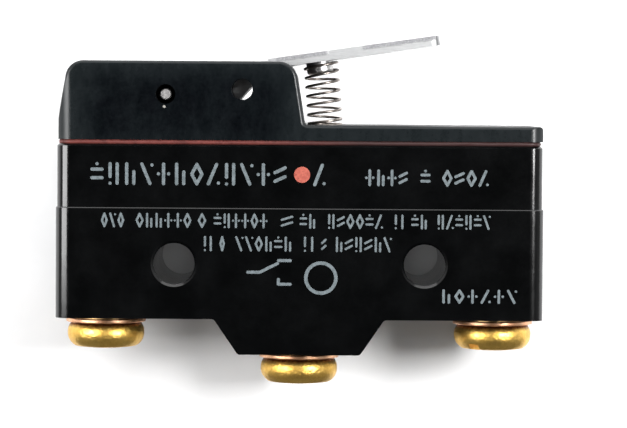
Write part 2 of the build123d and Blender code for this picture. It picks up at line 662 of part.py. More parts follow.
# The lever is one bent sheet: a channel with two ears round the pin, then a flat tongue.
with BuildPart() as lever:
    with BuildSketch(LEVER_SIDE.offset(-LEVER_WIDTH / 2)) as ear:
        with BuildLine():
            Polyline(
                (LEVER_TAIL, LEVER_TOP),
                (LEVER_TAIL, -EAR_DEPTH),
                (EAR_FOOT, -EAR_DEPTH),
                (EAR_END, LEVER_UNDERSIDE),
                (EAR_END, LEVER_TOP),
                close=True,
            )
        make_face()
        fillet(nearest_corner(ear, (LEVER_TAIL, -EAR_DEPTH)), EAR_TAIL_RADIUS)
        fillet(nearest_corner(ear, (EAR_FOOT, -EAR_DEPTH)), EAR_TOE_RADIUS)
    extrude(amount=LEVER_WIDTH)
    bends = lever.faces().sort_by(Axis.Z).filter_by(lambda f: f.normal_at().Z > 0.9)[-1].edges()
    fillet(bends.filter_by(lambda e: abs(e.center().Y) > 1), BEND_RADIUS)
    with BuildSketch(LEVER_SIDE.offset(-LEVER_WIDTH / 2 + LEVER_THICKNESS)):
        with Locations(((LEVER_TAIL + EAR_END) / 2, LEVER_UNDERSIDE - FAR / 2)):
            Rectangle(2 * FAR, FAR)
    extrude(amount=LEVER_WIDTH - 2 * LEVER_THICKNESS, mode=Mode.SUBTRACT)
    with BuildSketch(lever_plane(0, LEVER_UNDERSIDE)):
        with Locations(((EAR_END + LEVER_REACH) / 2, 0)):
            tongue = Rectangle(LEVER_REACH - EAR_END, LEVER_WIDTH)
        fillet(tongue.vertices().sort_by(Axis.X)[-2:], LEVER_CORNER)
    extrude(amount=LEVER_THICKNESS)
    with Locations(lever_plane(NUB_AT, LEVER_UNDERSIDE)):
        Sphere(NUB_RADIUS)
    with Locations(lever_plane(NUB_AT, LEVER_TOP)):
        Sphere(NUB_RADIUS / 2, mode=Mode.SUBTRACT)
    with BuildSketch(lever_plane(STUD_AT, LEVER_UNDERSIDE)):
        Circle(STUD_SHANK_RADIUS)
    extrude(amount=LEVER_THICKNESS, mode=Mode.SUBTRACT)
    with BuildSketch(LEVER_SIDE.offset(-LEVER_WIDTH)):
        Circle(PIN_LEVER_RADIUS)
    extrude(amount=2 * LEVER_WIDTH, mode=Mode.SUBTRACT)
keep(lever, "lever")

# The pin: a shaft through both ears, and thinner tips that show in the holes of the tower.
with BuildPart() as hinge_pin:
    for radius, half_length in ((PIN_RADIUS, PIN_HALF_LENGTH), (PIN_TIP_RADIUS, PIN_TIP_HALF_LENGTH)):
        with BuildSketch(Plane(origin=(PIVOT_X, -half_length, PIVOT_Z), z_dir=(0, 1, 0))):
            Circle(radius)
        extrude(amount=2 * half_length)
    end_faces = hinge_pin.faces().group_by(Axis.Y)
    chamfer(end_faces[0].edges() + end_faces[-1].edges(), PIN_CHAMFER)
keep(hinge_pin, "hinge_pin")

# The stud is riveted flush through the lever and hangs down inside the spring.
with BuildPart() as spring_stud:
    with BuildSketch(lever_plane(STUD_AT, LEVER_UNDERSIDE - STUD_LENGTH)):
        Circle(STUD_RADIUS)
    extrude(amount=STUD_LENGTH)
    fillet(spring_stud.edges().group_by(Axis.Z)[0], STUD_EDGE)
    with BuildSketch(lever_plane(STUD_AT, LEVER_UNDERSIDE)):
        Circle(STUD_SHANK_RADIUS)
    extrude(amount=LEVER_THICKNESS)
keep(spring_stud, "spring_stud")

# The return spring leans a little, because its stud sits slightly left of its seat.
with BuildPart() as return_spring:
    spring_axis = Vector(SPRING_HEAD_X - SPRING_FOOT_X, 0, SPRING_HEAD_Z - SPRING_FOOT_Z)
    with BuildLine() as coil:
        Helix(
            pitch=SPRING_PITCH,
            height=spring_axis.length,
            radius=SPRING_MEAN_RADIUS,
            center=(SPRING_FOOT_X, 0, SPRING_FOOT_Z),
            direction=spring_axis,
        )
    with BuildSketch(Plane(origin=coil.line @ 0, z_dir=coil.line % 0)):
        Circle(SPRING_WIRE_RADIUS)
    sweep(path=coil.line, is_frenet=True)
keep(return_spring, "return_spring")
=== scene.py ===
"""Looks of the limit switch: finishes, spring, seal, snap blade, generic print, light and camera."""
import random
from math import atan2, cos, pi, radians, sin, tau

import bmesh
import bpy
from mathutils import Matrix, Vector, noise


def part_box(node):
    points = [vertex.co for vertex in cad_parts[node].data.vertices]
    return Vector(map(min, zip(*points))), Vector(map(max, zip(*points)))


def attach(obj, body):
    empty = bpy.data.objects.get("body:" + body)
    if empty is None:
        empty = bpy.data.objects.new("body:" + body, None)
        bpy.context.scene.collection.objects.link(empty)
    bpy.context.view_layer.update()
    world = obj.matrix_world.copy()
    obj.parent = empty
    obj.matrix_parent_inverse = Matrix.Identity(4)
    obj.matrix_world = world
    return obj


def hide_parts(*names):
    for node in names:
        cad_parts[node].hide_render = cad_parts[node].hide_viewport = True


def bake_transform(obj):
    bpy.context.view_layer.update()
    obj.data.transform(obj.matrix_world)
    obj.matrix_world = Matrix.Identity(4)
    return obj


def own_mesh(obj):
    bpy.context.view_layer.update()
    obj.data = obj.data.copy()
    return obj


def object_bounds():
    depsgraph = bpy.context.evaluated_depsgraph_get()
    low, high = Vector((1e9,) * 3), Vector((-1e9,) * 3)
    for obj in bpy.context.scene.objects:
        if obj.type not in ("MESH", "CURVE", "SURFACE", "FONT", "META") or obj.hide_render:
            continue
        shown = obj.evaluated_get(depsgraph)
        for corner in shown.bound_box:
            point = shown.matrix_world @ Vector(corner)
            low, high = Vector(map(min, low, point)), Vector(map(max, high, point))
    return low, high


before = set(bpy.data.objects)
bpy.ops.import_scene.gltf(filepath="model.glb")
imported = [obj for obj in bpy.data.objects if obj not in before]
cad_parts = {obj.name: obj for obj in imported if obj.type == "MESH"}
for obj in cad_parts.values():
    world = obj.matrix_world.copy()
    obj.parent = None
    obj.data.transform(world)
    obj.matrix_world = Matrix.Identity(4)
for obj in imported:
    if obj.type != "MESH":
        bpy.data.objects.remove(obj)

MM = 0.001
CAD_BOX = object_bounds()
scene = bpy.context.scene
random.seed(11)


# ---------------------------------------------------------------- small node helpers

class Graph:
    """One material's node tree, built by short calls. Lengths in patterns are millimetres."""

    def __init__(self, name, **sockets):
        self.material = bpy.data.materials.new(name)
        self.material.use_nodes = True
        self.tree = self.material.node_tree
        self.shader = self.tree.nodes["Principled BSDF"]
        for socket, value in sockets.items():
            self.shader.inputs[socket.replace("_", " ")].default_value = value
        self.coordinates = self.tree.nodes.new("ShaderNodeTexCoord")

    def node(self, kind, inputs=None, **properties):
        made = self.tree.nodes.new(kind)
        for key, value in properties.items():
            setattr(made, key, value)
        for key, value in (inputs or {}).items():
            self.put(made.inputs[key], value)
        return made

    def put(self, socket, value):
        if isinstance(value, bpy.types.NodeSocket):
            self.tree.links.new(value, socket)
        else:
            socket.default_value = value

    def set(self, socket, value):
        self.put(self.shader.inputs[socket], value)

    def place(self, stretch=(1, 1, 1), turn=(0, 0, 0)):
        """Object coordinates in millimetres, divided by stretch."""
        scale = [1 / (MM * s) for s in stretch]
        mapping = self.node("ShaderNodeMapping", {
            "Vector": self.coordinates.outputs["Object"],
            "Rotation": turn, "Scale": scale,
        })
        return mapping.outputs["Vector"]

    def noise(self, size, detail=3.0, roughness=0.55, stretch=(1, 1, 1), distortion=0.0, turn=(0, 0, 0)):
        """Noise whose lumps are about size millimetres across."""
        made = self.node("ShaderNodeTexNoise", {
            "Vector": self.place([size * s for s in stretch], turn),
            "Scale": 1.0, "Detail": detail, "Roughness": roughness, "Distortion": distortion,
        })
        return made.outputs["Fac"]

    def remap(self, value, low, high, to_low=0.0, to_high=1.0):
        made = self.node("ShaderNodeMapRange", {
            "Value": value, "From Min": low, "From Max": high, "To Min": to_low, "To Max": to_high,
        })
        return made.outputs["Result"]

    def math(self, operation, a, b=0.0, clamp=False):
        made = self.node("ShaderNodeMath", operation=operation, use_clamp=clamp)
        self.put(made.inputs[0], a)
        self.put(made.inputs[1], b)
        return made.outputs[0]

    def mix(self, factor, a, b):
        made = self.node("ShaderNodeMix", data_type="RGBA")
        self.put(made.inputs[0], factor)
        for socket, value in ((made.inputs[6], a), (made.inputs[7], b)):
            self.put(socket, value if isinstance(value, bpy.types.NodeSocket) else (*value, 1.0))
        return made.outputs[2]

    def axis(self, vector, name):
        return self.node("ShaderNodeSeparateXYZ", {0: vector}).outputs[name]

    def place_along(self, name):
        return self.axis(self.coordinates.outputs["Object"], name)

    def normal_along(self, name):
        return self.axis(self.node("ShaderNodeNewGeometry").outputs["Normal"], name)

    def blend_of(self, a, b, share):
        """share of a and the rest of b."""
        return self.math("ADD", self.math("MULTIPLY", a, share), self.math("MULTIPLY", b, 1 - share))

    def wander(self, value, pattern, reach):
        """value moved up and down by half of reach, after a pattern of 0 to 1."""
        return self.math("ADD", value, self.math("MULTIPLY", self.math("SUBTRACT", pattern, 0.5), reach))

    def bump(self, *layers):
        """Layers are (height, strength, distance in mm); they stack on one another."""
        normal = None
        for height, strength, distance in layers:
            made = self.node("ShaderNodeBump", {
                "Height": height, "Strength": strength, "Distance": distance * MM,
            })
            if normal is not None:
                self.put(made.inputs["Normal"], normal)
            normal = made.outputs["Normal"]
        self.set("Normal", normal)


def rgb(red, green, blue):
    """Linear colour from display values of 11 to 255."""
    return tuple(((v / 255 + 0.055) / 1.055) ** 2.4 for v in (red, green, blue))


# ---------------------------------------------------------------- finishes

def case_black():
    """Filled phenolic: near black, with faint flow clouds and a slightly uneven skin."""
    g = Graph("case_black")
    clouds = g.noise(3.5, 4.0, 0.6)
    g.set("Base Color", g.mix(g.remap(clouds, 0.35, 0.7), (0.0012, 0.0013, 0.0014), (0.0024, 0.0026, 0.0028)))
    fine = g.noise(0.25, 3.0, 0.6)
    g.set("Roughness", g.remap(g.blend_of(clouds, fine, 0.6), 0.3, 0.7, 0.105, 0.185))
    g.bump((g.noise(2.2, 2.0, 0.5), 0.25, 0.02), (g.noise(0.16, 3.0, 0.65), 0.25, 0.006))
    return g.material


# The tower faces are darker and glossier between these heights and places along the case, with a painted
# sheen lightening the colour outside them; lengths in millimetres.
SHEEN_FREE_LEFT, SHEEN_FREE_RIGHT, SHEEN_FREE_TOP, SHEEN_FREE_BOTTOM = -23.3, -0.4, 20.4, 12.2
SHEEN_FADE = 3.2


def housing_black():
    """Satin blue-black moulding, darker and glossier in the middle of the tower's faces, with a painted sheen
    towards their edges.
    """
    g = Graph("housing_black", Specular_IOR_Level=0.35)
    flow = g.noise(1.1, 4.0, 0.6, stretch=(1.0, 1.0, 2.5), distortion=0.4)
    mottle = g.noise(0.35, 3.0, 0.65)
    tone = g.blend_of(flow, mottle, 0.6)
    # Mask of the darker middle of the tower's faces; where it falls off towards the edges, the colour carries
    # a painted sheen.
    wear_and_sheen_mask = g.remap(g.noise(2.6, 4.0, 0.65), 0.34, 0.62, 0.55, 1.0)
    for axis, none_at, full_at in (
        ("X", SHEEN_FREE_LEFT, SHEEN_FREE_LEFT + SHEEN_FADE),
        ("X", SHEEN_FREE_RIGHT, SHEEN_FREE_RIGHT - SHEEN_FADE),
        ("Z", SHEEN_FREE_TOP, SHEEN_FREE_TOP - 0.7 * SHEEN_FADE),
        ("Z", SHEEN_FREE_BOTTOM - 0.5 * SHEEN_FADE, SHEEN_FREE_BOTTOM + 0.5 * SHEEN_FADE),
    ):
        wear_and_sheen_mask = g.math("MULTIPLY", wear_and_sheen_mask, g.remap(g.place_along(axis), none_at * MM, full_at * MM))
    # The lighter colour is the painted sheen near the faces' edges; the middle takes the darker colour.
    colour = g.mix(g.remap(tone, 0.36, 0.66), (0.0040, 0.0062, 0.0072), (0.0068, 0.0097, 0.0111))
    middle_colour = g.mix(g.remap(tone, 0.36, 0.66), (0.0012, 0.0016, 0.0023), (0.0034, 0.0042, 0.0054))
    g.set("Base Color", g.mix(wear_and_sheen_mask, colour, middle_colour))
    facing = g.math("ABSOLUTE", g.normal_along("Y"))
    rough = g.math("SUBTRACT", g.remap(tone, 0.3, 0.7, 0.25, 0.32), g.math("MULTIPLY", wear_and_sheen_mask, 0.15))
    g.set("Roughness", g.math("ADD", rough, g.remap(facing, 0.97, 0.8, 0.0, 0.28)))
    g.bump((flow, 0.12, 0.012), (g.noise(0.14, 3.0, 0.6), 0.14, 0.008))
    return g.material


def seal_red():
    """Matt silicone, darker from the middle of the case to the end under the lever."""
    g = Graph("seal_red")
    blotch = g.noise(0.8, 3.0, 0.6)
    clean = g.mix(g.remap(blotch, 0.3, 0.7), rgb(84, 36, 32), rgb(118, 58, 52))
    # The colour turns darker from the middle of the case towards its right end.
    darker_rightward = g.remap(g.place_along("X"), -6 * MM, 6 * MM)
    g.set("Base Color", g.mix(darker_rightward, clean, rgb(58, 34, 33)))
    g.set("Roughness", g.remap(g.noise(0.2), 0.3, 0.7, 0.45, 0.62))
    g.bump((g.noise(0.3, 4.0, 0.6), 0.6, 0.03),)
    return g.material


def rubber(name, dark, light):
    """Dull rubber, plastic or resin: two tones in soft blotches and a fine grain."""
    g = Graph(name)
    g.set("Base Color", g.mix(g.remap(g.noise(0.9, 4.0), 0.3, 0.7), dark, light))
    g.set("Roughness", g.remap(g.noise(0.2), 0.3, 0.7, 0.6, 0.8))
    g.bump((g.noise(0.12, 3.0, 0.6), 0.4, 0.01),)
    return g.material


def metal(name, dull, bright, rough, spread, blotch=1.5, grain=0.12, grain_depth=0.004,
          stretch=(1, 1, 1), dents=0.0):
    """Bare metal: two tones in soft blotches, fine grain, and tumbling dents where asked for."""
    g = Graph(name, Metallic=1.0)
    tone = g.noise(blotch, 4.0, 0.6, stretch=stretch)
    fine = g.noise(grain, 3.0, 0.6, stretch=stretch)
    both = g.blend_of(tone, fine, 0.65)
    g.set("Base Color", g.mix(g.remap(both, 0.36, 0.62), dull, bright))
    g.set("Roughness", g.remap(both, 0.32, 0.68, rough + spread, rough - spread))
    layers = [(fine, 0.5, grain_depth)]
    if dents:
        layers.append((g.noise(0.34, 3.0, 0.6), 0.7, dents))
    g.bump(*layers)
    return g


# Where the lever's cut edges are torn: middle along the case and half length, in millimetres.
TORN_STRETCHES = ((0.05, 2.9), (10.35, 4.2))


def lever_steel():
    """Rolled stainless sheet; its cut edges have a bright sheared band below and a torn, darker one above."""
    g = Graph("lever_steel", Metallic=1.0)
    tilt = radians(LEVER_RISE)
    across = (-sin(tilt), 0, cos(tilt))
    point = g.coordinates.outputs["Object"]
    offset = g.node("ShaderNodeVectorMath", {0: point, 1: PIVOT}, operation="SUBTRACT").outputs[0]
    above = g.node("ShaderNodeVectorMath", {0: offset, 1: across}, operation="DOT_PRODUCT").outputs["Value"]
    on_edge = g.remap(g.math("ABSOLUTE", g.normal_along("Y")), 0.75, 0.9)
    torn_height = g.wander(above, g.noise(0.5, 3.0, 0.6), 0.3 * MM)
    torn = g.math("MULTIPLY", on_edge, g.remap(
        torn_height, LEVER_UNDERSIDE + 0.50 * MM, LEVER_UNDERSIDE + 0.66 * MM,
    ))
    along = g.wander(g.axis(point, "X"), g.noise(0.4), 1.2 * MM)
    torn = g.math("MULTIPLY", torn, g.math("ADD", *[
        g.remap(g.math("ABSOLUTE", g.math("SUBTRACT", along, middle * MM)), half * MM, (half - 0.4) * MM)
        for middle, half in TORN_STRETCHES
    ]))
    rolled = g.noise(0.08, 3.0, 0.6, stretch=(14.0, 1.0, 1.0), turn=(0, tilt, 0))
    pits = g.noise(0.12, 4.0, 0.7)
    tone = g.blend_of(rolled, g.noise(1.6, 3.0), 0.6)
    sheared = g.mix(g.remap(tone, 0.35, 0.65), (0.48, 0.485, 0.49), (0.63, 0.635, 0.64))
    sheet = g.mix(g.remap(tone, 0.35, 0.65), (0.26, 0.265, 0.27), (0.40, 0.405, 0.41))
    base = g.mix(on_edge, sheet, sheared)
    fracture = g.mix(g.remap(pits, 0.35, 0.65), (0.22, 0.22, 0.23), (0.40, 0.40, 0.41))
    g.set("Base Color", g.mix(torn, base, fracture))
    rough = g.math("ADD", g.remap(tone, 0.3, 0.7, 0.34, 0.24), g.math("MULTIPLY", on_edge, 0.18))
    g.set("Roughness", g.math("ADD", rough, g.math("MULTIPLY", torn, 0.15)))
    g.bump((rolled, 0.25, 0.004), (g.math("MULTIPLY", pits, torn), 0.9, 0.05))
    return g.material


def ink(name, thin, thick):
    """Pad-printed ink: a little uneven, with worn pinholes where the moulding shows through."""
    g = Graph(name)
    cover = g.noise(0.35, 3.0, 0.65)
    wear_and_sheen_mask = g.remap(g.noise(0.12, 2.0, 0.5), 0.62, 0.72)
    printed = g.mix(g.remap(cover, 0.35, 0.65), thin, thick)
    g.set("Base Color", g.mix(wear_and_sheen_mask, printed, tuple(0.25 * v for v in thin)))
    g.set("Roughness", g.remap(cover, 0.3, 0.7, 0.5, 0.65))
    g.bump((cover, 0.3, 0.004),)
    return g.material


def screw_brass():
    """Tumbled yellow brass, with a painted brown shade where the head turns up under its washer."""
    g = metal("screw_brass", (0.74, 0.445, 0.09), (0.98, 0.635, 0.16), 0.38, 0.09,
              blotch=1.0, grain=0.15, grain_depth=0.016, dents=0.085)
    # Painted shade: the head's upward faces under the washer are darkened brown.
    shade_under_washer = g.remap(g.wander(g.normal_along("Z"), g.noise(0.4), 0.3), 0.30, 0.60)
    bare = g.shader.inputs["Base Color"].links[0].from_socket
    g.set("Base Color", g.mix(shade_under_washer, bare, (0.13, 0.055, 0.02)))
    return g.material


def hinge_pin():
    """Turned pin; the shoulder behind each tip sits in the shadow of its bore, and that shadow is painted
    black into its colour.
    """
    g = metal("hinge_pin", (0.26, 0.25, 0.25), (0.52, 0.51, 0.50), 0.42, 0.1, 0.3, 0.1, 0.04)
    depth = g.math("ABSOLUTE", g.place_along("Y"))
    # Painted shade: the shoulder deep in the bore is coloured black.
    bore_shade = g.math("MULTIPLY", g.remap(depth, 6.6 * MM, 6.8 * MM), g.remap(depth, 7.9 * MM, 7.7 * MM))
    bare = g.shader.inputs["Base Color"].links[0].from_socket
    g.set("Base Color", g.mix(bore_shade, bare, (0.004, 0.004, 0.004)))
    return g.material


PIVOT = (-13.63 * MM, 0, 17.17 * MM)
LEVER_RISE = 8.3
LEVER_UNDERSIDE = 1.166 * MM

# Name: dull and bright colour, roughness and its spread, size of blotches, of the grain, depth of the grain.
METALS = {
    "pin_steel": ((0.42, 0.41, 0.40), (0.66, 0.65, 0.64), 0.36, 0.1, 0.5, 0.1, 0.02),
    "spring_steel": ((0.24, 0.205, 0.185), (0.46, 0.415, 0.375), 0.33, 0.08, 0.8, 0.06, 0.003),
    "washer_copper": ((0.70, 0.34, 0.18), (0.93, 0.56, 0.35), 0.36, 0.08, 0.8, 0.1, 0.01),
    "terminal_brass": ((0.32, 0.20, 0.09), (0.55, 0.37, 0.17), 0.34, 0.1, 1.4),
    "blade_copper": ((0.62, 0.36, 0.20), (0.80, 0.52, 0.32), 0.24, 0.06, 2.0, 0.08, 0.003, (6, 1, 1)),
    "contact_silver": ((0.72, 0.71, 0.69), (0.90, 0.89, 0.87), 0.25, 0.08),
}

FINISHES = {
    "case_black": case_black(),
    "housing_black": housing_black(),
    "seal_red": seal_red(),
    "wiper_rubber": rubber("wiper_rubber", (0.010, 0.010, 0.011), (0.022, 0.021, 0.021)),
    "plunger_plastic": rubber("plunger_plastic", (0.055, 0.028, 0.016), (0.085, 0.046, 0.028)),
    "hinge_pin": hinge_pin(),
    "lever_steel": lever_steel(),
    "screw_brass": screw_brass(),
    "print_grey": ink("print_grey", (0.085, 0.107, 0.115), (0.15, 0.18, 0.195)),
    "print_red": ink("print_red", (0.30, 0.055, 0.035), (0.45, 0.10, 0.065)),
    "resin": rubber("resin", (0.20, 0.19, 0.17), (0.34, 0.33, 0.30)),
}
FINISHES.update({name: metal(name, *values).material for name, values in METALS.items()})

NODE_FINISH = {
    "lower_case": "case_black",
    "upper_case": "case_black",
    "actuator_housing": "housing_black",
    "seal_gasket": "seal_red",
    "plunger_seal": "wiper_rubber",
    "plunger": "plunger_plastic",
    "hinge_pin": "hinge_pin",
    "spring_stud": "pin_steel",
    "cover_rivets": "pin_steel",
    "lever": "lever_steel",
    "return_spring": "spring_steel",
    "terminal_screws": "screw_brass",
    "terminal_washers": "washer_copper",
    "terminal_bushes": "terminal_brass",
    "common_terminal": "terminal_brass",
    "normally_closed_terminal": "terminal_brass",
    "normally_open_terminal": "terminal_brass",
    "blade_rivets": "terminal_brass",
    "snap_blade": "blade_copper",
    "normally_closed_contact": "contact_silver",
    "normally_open_contact": "contact_silver",
    "moving_contact": "contact_silver",
}
for name, finish in NODE_FINISH.items():
    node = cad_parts[name]
    if not node.material_slots:
        node.data.materials.append(FINISHES[finish])
    for slot in node.material_slots:
        slot.material = FINISHES[finish]


# ---------------------------------------------------------------- mesh helpers

def finish_piece(name, mesh, material, smooth=True):
    """A new object from a bmesh, with outward faces."""
    bmesh.ops.recalc_face_normals(mesh, faces=mesh.faces)
    data = bpy.data.meshes.new(name)
    mesh.to_mesh(data)
    mesh.free()
    piece = bpy.data.objects.new(name, data)
    scene.collection.objects.link(piece)
    data.materials.append(material)
    for polygon in data.polygons:
        polygon.use_smooth = smooth
    return piece


def tube(mesh, centres, radius, sides):
    """A closed round tube along a list of centres, with flat ends."""
    rings = []
    side = Vector((0, 1, 0))
    for i, centre in enumerate(centres):
        ahead = (centres[min(i + 1, len(centres) - 1)] - centres[max(i - 1, 0)]).normalized()
        side = (side - side.dot(ahead) * ahead).normalized()
        other = ahead.cross(side)
        rings.append([mesh.verts.new(centre + radius * (cos(a) * side + sin(a) * other))
                      for a in (tau * k / sides for k in range(sides))])
    for low, high in zip(rings, rings[1:]):
        for k in range(sides):
            mesh.faces.new((low[k], low[(k + 1) % sides], high[(k + 1) % sides], high[k]))
    mesh.faces.new(rings[0][::-1])
    mesh.faces.new(rings[-1])


# ---------------------------------------------------------------- return spring

WIRE = 0.135 * MM
COIL_RADIUS = 1.70 * MM
COIL_TURNS = 7.6
COIL_START = radians(-140)
COIL_LEAN = 0.03
COIL_SEAT_Z = 13.86 * MM
COIL_FOOT_X = 2.55 * MM
COIL_HEAD_X = 2.09 * MM
COIL_TOP_GAP = 0.03 * MM
CLOSED_PITCH = 0.33
HEAD_PITCH = 0.45
HEAD_TURNS = 0.6
WIRE_SIDES = 14
STEPS_PER_EIGHTH = (40, 64)


def climb(turns):
    """Height gained after so many turns: little on the closed first coil and at the head, even in between."""
    closed = CLOSED_PITCH * min(turns, 1.0)
    free = max(0.0, min(turns, COIL_TURNS - HEAD_TURNS) - 1.0)
    head = HEAD_PITCH * max(0.0, turns - (COIL_TURNS - HEAD_TURNS))
    return closed + free + head


def build_spring():
    """Wire from a closed coil on the seat up to a last coil that is tilted with the lever."""
    tilt = radians(LEVER_RISE)
    under = PIVOT[2] + (COIL_HEAD_X - PIVOT[0]) * sin(tilt) / cos(tilt) + LEVER_UNDERSIDE / cos(tilt)
    steps = STEPS_PER_EIGHTH[1] * 8
    centres = []
    for i in range(steps + 1):
        turn = COIL_TURNS * i / steps
        rise = climb(turn) / climb(COIL_TURNS)
        angle = tau * turn + COIL_START
        height = (COIL_SEAT_Z + WIRE) + rise * (under - WIRE - COIL_TOP_GAP - COIL_SEAT_Z - WIRE)
        x = COIL_FOOT_X + (COIL_HEAD_X - COIL_FOOT_X) * rise ** 1.4
        slope = COIL_LEAN + (tilt - COIL_LEAN) * rise ** 1.5
        out, aside = COIL_RADIUS * cos(angle), COIL_RADIUS * sin(angle)
        centres.append(Vector((x + out, aside, height + out * sin(slope))))
    mesh = bmesh.new()
    tube(mesh, centres, WIRE, WIRE_SIDES)
    piece = finish_piece("return_spring_coil", mesh, FINISHES["spring_steel"])
    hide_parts("return_spring")
    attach(piece, "case")
    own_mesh(piece)


build_spring()


# ---------------------------------------------------------------- seal

def rounded_outline(half_x, half_y, corner, step):
    """Evenly spaced points round a rectangle with rounded corners, each with its outward normal."""
    points = []
    inner_x, inner_y = half_x - corner, half_y - corner
    right, rear = Vector((1, 0)), Vector((0, 1))
    sides = (
        (Vector((half_x, -inner_y)), Vector((half_x, inner_y)), right, (inner_x, inner_y)),
        (Vector((inner_x, half_y)), Vector((-inner_x, half_y)), rear, (-inner_x, inner_y)),
        (Vector((-half_x, inner_y)), Vector((-half_x, -inner_y)), -right, (-inner_x, -inner_y)),
        (Vector((-inner_x, -half_y)), Vector((inner_x, -half_y)), -rear, (inner_x, -inner_y)),
    )
    on_corner = max(3, round(corner * pi / 2 / step))
    for quarter, (start, end, normal, centre) in enumerate(sides):
        on_side = max(1, round((end - start).length / step))
        points += [(start.lerp(end, k / on_side), normal) for k in range(on_side)]
        for k in range(on_corner):
            turn = (pi / 2) * (quarter + k / on_corner)
            normal = Vector((cos(turn), sin(turn)))
            points.append((Vector(centre) + corner * normal, normal))
    return points


SEAL_CORNER = 1.3 * MM
# How far the seal's edge stands out, in millimetres, at shares of its height.
SEAL_PROFILE = ((0.0, -0.10), (0.12, 0.0), (0.5, 0.07), (0.88, 0.0), (1.0, -0.10))
SEAL_WAVE, SEAL_RIPPLE = 0.07, 0.03
HOLE_SIDES = 48


def build_seal():
    """The silicone sheet: its edge bulges a little where the housing squeezes it, unevenly along the case."""
    low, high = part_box("seal_gasket")
    half_x, half_y = (high.x - low.x) / 2, (high.y - low.y) / 2
    outline = rounded_outline(half_x, half_y, SEAL_CORNER, (0.3) * MM)
    mesh = bmesh.new()
    rings = []
    for share, out in SEAL_PROFILE:
        z = low.z + share * (high.z - low.z)
        ring = []
        for p, normal in outline:
            wave = noise.noise(Vector((p.x / (2.5 * MM), p.y / (2.5 * MM), share * 0.8)))
            fine = noise.noise(Vector((p.x / (0.6 * MM), p.y / (0.6 * MM), 5 + share)))
            reach = (out + SEAL_WAVE * wave + SEAL_RIPPLE * fine) * MM
            ring.append(mesh.verts.new((p.x + normal.x * reach, p.y + normal.y * reach, z)))
        rings.append(ring)
    count = len(outline)
    for a, b in zip(rings, rings[1:]):
        for k in range(count):
            mesh.faces.new((a[k], a[(k + 1) % count], b[(k + 1) % count], b[k]))
    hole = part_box("plunger_seal")
    centre = (hole[0] + hole[1]) / 2
    radius = (hole[1].x - hole[0].x) / 2
    turns = [tau * k / HOLE_SIDES for k in range(HOLE_SIDES)]
    holes = [
        [mesh.verts.new((centre.x + radius * cos(t), centre.y + radius * sin(t), z)) for t in turns]
        for z in (low.z, high.z)
    ]
    for k in range(HOLE_SIDES):
        n = (k + 1) % HOLE_SIDES
        mesh.faces.new((holes[0][k], holes[1][k], holes[1][n], holes[0][n]))
    mesh.edges.ensure_lookup_table()
    for ring, inner in ((rings[0], holes[0]), (rings[-1], holes[1])):
        loop = [mesh.edges.get((ring[k], ring[(k + 1) % count])) for k in range(count)]
        loop += [mesh.edges.get((inner[k], inner[(k + 1) % HOLE_SIDES])) for k in range(HOLE_SIDES)]
        bmesh.ops.triangle_fill(mesh, edges=loop, use_beauty=True)
    piece = finish_piece("seal_sheet", mesh, FINISHES["seal_red"])
    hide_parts("seal_gasket")
    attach(piece, "case")


build_seal()


# ---------------------------------------------------------------- snap blade

def strip(mesh, x_range, y_range, centre_z, thickness, count):
    """A closed flat spring strip whose middle height follows centre_z(x); lengths in millimetres."""
    rings = []
    for i in range(count + 1):
        x = x_range[0] + (x_range[1] - x_range[0]) * i / count
        z = centre_z(x)
        corners = ((y_range[0], -1), (y_range[1], -1), (y_range[1], 1), (y_range[0], 1))
        rings.append([mesh.verts.new(Vector((x, y, z + up * thickness / 2)) * MM) for y, up in corners])
    for low, high in zip(rings, rings[1:]):
        for k in range(4):
            mesh.faces.new((low[k], low[(k + 1) % 4], high[(k + 1) % 4], high[k]))
    mesh.faces.new(rings[0][::-1])
    mesh.faces.new(rings[-1])


def build_blade():
    """Leaf spring in two pieces that meet at the plunger: anchor to plunger, and plunger to contact."""
    low, high = (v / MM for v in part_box("snap_blade"))
    push_x = (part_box("plunger")[0].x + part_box("plunger")[1].x) / 2 / MM
    contact_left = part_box("moving_contact")[0].x / MM
    thickness, leaf, gap, bow = 0.2, 1.7, 0.5, 1.1
    anchor_x, leaf_left, leaf_right = -16.0, -14.5, 4.5
    flat_z = high.z - thickness / 2
    step = 0.1
    half = high.y

    def joggle(x):
        return flat_z - step * (1 - min(1.0, max(0.0, x - anchor_x)))

    def bowed(x):
        share = (2 * x - leaf_left - leaf_right) / (leaf_right - leaf_left)
        return flat_z - bow * (1 - share * share)

    parts = (
        ("blade_root", "case", "plunger", (low.x, push_x), (anchor_x, push_x)),
        ("blade_free", "plunger", "contact", (push_x, high.x), (push_x, contact_left)),
    )
    for name, start_body, end_body, (x0, x1), (bend_from, bend_to) in parts:
        mesh = bmesh.new()
        inner = half - leaf - gap
        if x0 < leaf_left:
            strip(mesh, (x0, leaf_left), (-half, half), joggle, thickness, 24)
        if x1 > leaf_right:
            strip(mesh, (leaf_right, x1), (-half, half), joggle, thickness, 24)
        span = (max(x0, leaf_left), min(x1, leaf_right))
        strip(mesh, span, (-inner, inner), joggle, thickness, 24)
        strip(mesh, span, (half - leaf, half), bowed, thickness, 24)
        strip(mesh, span, (-half, leaf - half), bowed, thickness, 24)
        piece = finish_piece(name, mesh, FINISHES["blade_copper"], smooth=False)
        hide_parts("snap_blade")
        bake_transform(piece)


build_blade()


# ---------------------------------------------------------------- generic print and resin speck

INK = 0.02
